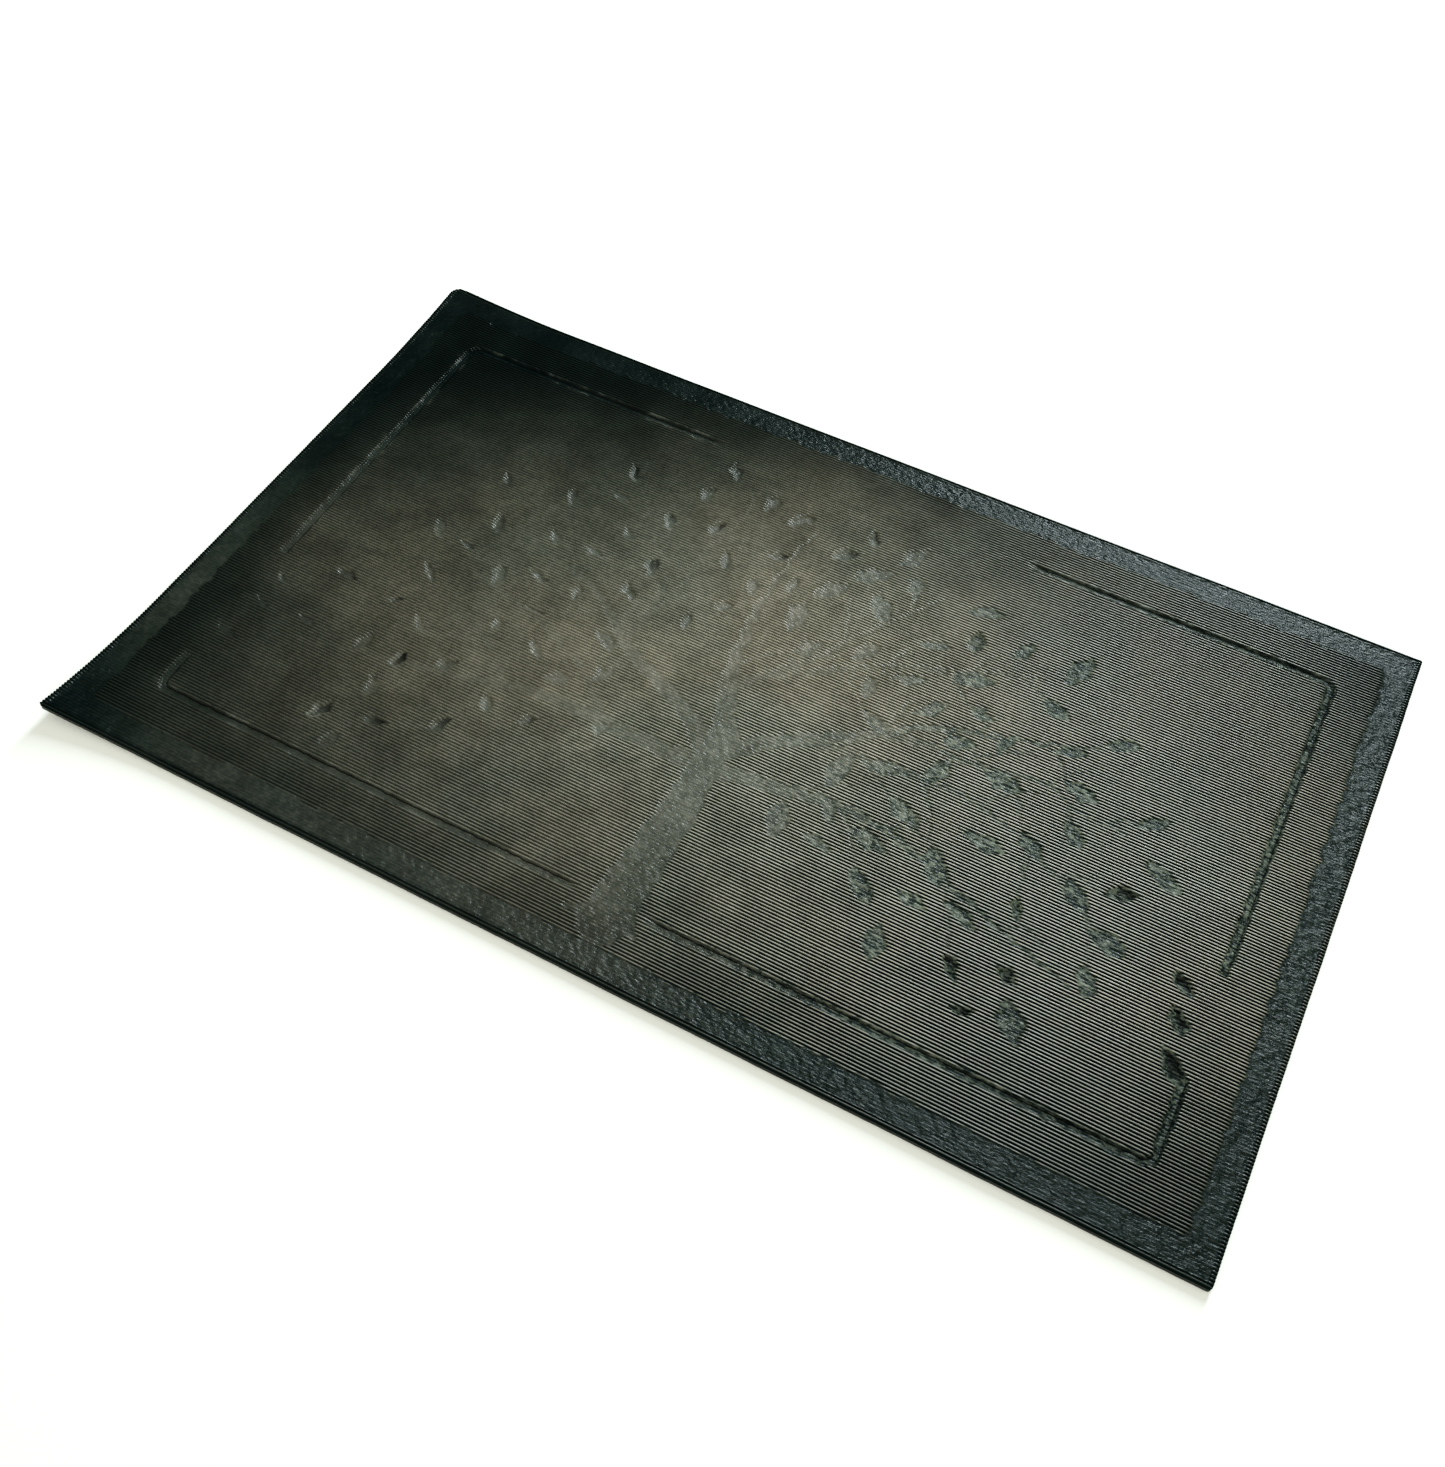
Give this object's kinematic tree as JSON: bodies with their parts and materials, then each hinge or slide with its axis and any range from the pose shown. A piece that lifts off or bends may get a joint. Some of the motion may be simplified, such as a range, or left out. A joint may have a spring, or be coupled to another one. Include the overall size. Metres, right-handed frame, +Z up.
{
  "type": "seedling heat mat",
  "caption": "Thin flexible black rubber heat mat for seed trays: ribbed top with a pressed rough border, a sunk frame line and a sunk tree relief, sealed heater inside, flush inlet.",
  "frame": {"origin": "centre of the mat's underside", "axes": "+X along the long side, +Y along the short side towards the back edge, +Z up out of the ribbed face; the inlet is in the -X edge"},
  "size_m": [0.508, 0.31, 0.004],
  "materials": {
    "ribbed_rubber": "satin black rubber with fine ribs",
    "base_rubber": "matt black rubber, fine pebble",
    "bond_film": "translucent amber film",
    "foam": "off-white closed-cell foam",
    "polyester_film": "glossy pale film",
    "foil": "bright rolled foil",
    "tape_cloth": "woven yellow tape",
    "resistance_alloy": "dull drawn wire",
    "silicone": "matt red insulation",
    "shrink_tube": "black heat-shrink",
    "crimp_brass": "stamped brass",
    "live_pvc": "brown lead insulation",
    "neutral_pvc": "blue lead insulation",
    "fuse_case": "plated case",
    "inlet_plastic": "fine spark-eroded black plastic",
    "grommet_rubber": "matt dark grey rubber"
  },
  "bodies": {
    "root": {"top_sheet": "ribbed_rubber", "bottom_sheet": "base_rubber", "seam_adhesive": "bond_film", "insulation_pad": "foam", "carrier_film": "polyester_film", "spreader_foil": "foil", "upper_film": "polyester_film", "tape_left": "tape_cloth", "tape_centre": "tape_cloth", "tape_right": "tape_cloth", "heating_core": "resistance_alloy", "heating_jacket": "silicone", "crimp_live": "crimp_brass", "crimp_cutoff": "crimp_brass", "crimp_neutral": "crimp_brass", "shrink_live": "shrink_tube", "shrink_cutoff": "shrink_tube", "shrink_neutral": "shrink_tube", "thermal_cutoff": "fuse_case", "cutoff_sleeve": "shrink_tube", "live_lead": "live_pvc", "neutral_lead": "neutral_pvc", "lead_grommet": "grommet_rubber", "inlet_housing": "inlet_plastic", "inlet_pin_live": "crimp_brass", "inlet_pin_neutral": "crimp_brass"}
  },
  "joints": []
}
